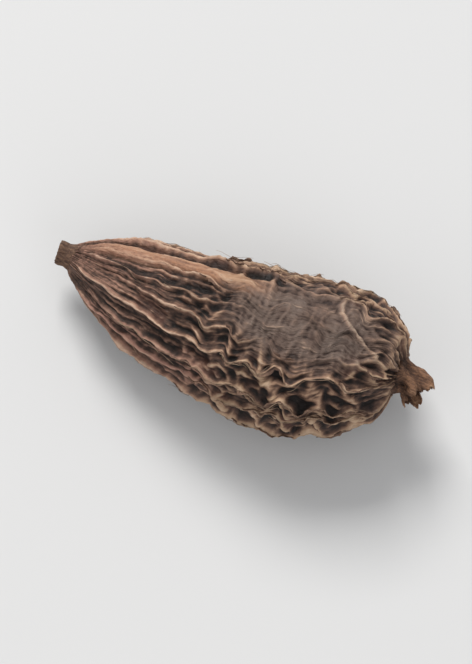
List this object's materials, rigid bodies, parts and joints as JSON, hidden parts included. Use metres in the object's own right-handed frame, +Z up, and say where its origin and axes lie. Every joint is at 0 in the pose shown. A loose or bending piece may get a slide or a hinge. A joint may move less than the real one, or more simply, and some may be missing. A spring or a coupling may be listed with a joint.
{
  "type": "black cardamom pod",
  "caption": "Dried black cardamom pod, a ribbed teardrop seed capsule with a netted flower end, lying on its side.",
  "frame": {"origin": "middle of the bounding box at its base, on the surface that the pod lies on", "axes": "+X along the pod, from the stalk end to the flower end; +Z up, away from the flat spot; +Y across the pod"},
  "size_m": [0.0298, 0.0124, 0.0101],
  "materials": {
    "husk": "dry, wrinkled dark brown skin with lighter rib crests",
    "stalk": "dry fibrous brown stem, cut off short",
    "remnant": "dry papery orange-brown flower tube, torn at its end"
  },
  "bodies": {
    "root": {"husk": "husk", "stalk_stub": "stalk", "flower_remnant": "remnant"}
  },
  "joints": []
}
